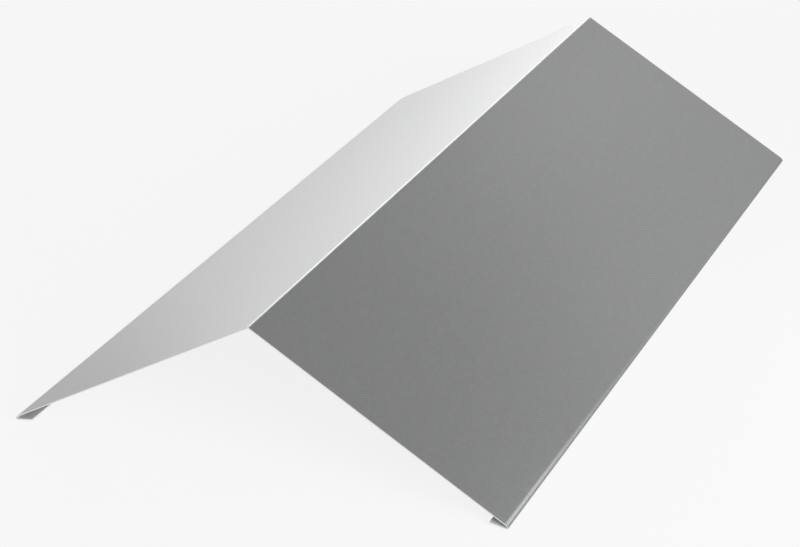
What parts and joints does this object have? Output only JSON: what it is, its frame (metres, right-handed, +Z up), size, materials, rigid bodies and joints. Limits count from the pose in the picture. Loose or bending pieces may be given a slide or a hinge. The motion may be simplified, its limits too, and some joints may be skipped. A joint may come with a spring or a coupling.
{
  "type": "roof ridge cap",
  "caption": "Bent sheet-metal roof ridge cap with flat sloping wings and low edges turned under in an open hem, laid over the joint along the top of a pitched roof.",
  "frame": {"origin": "midway along the cap, straight under the ridge, on the level of the folded edges that bear on the roof", "axes": "+X across the ridge, +Y along the ridge, +Z up"},
  "size_m": [0.2588, 0.475, 0.0763],
  "materials": {
    "coated_sheet": "satin zinc-grey coating with a fine grain, bare bright steel on the cut ends"
  },
  "bodies": {
    "root": {"ridge_cap": "coated_sheet"}
  },
  "joints": []
}
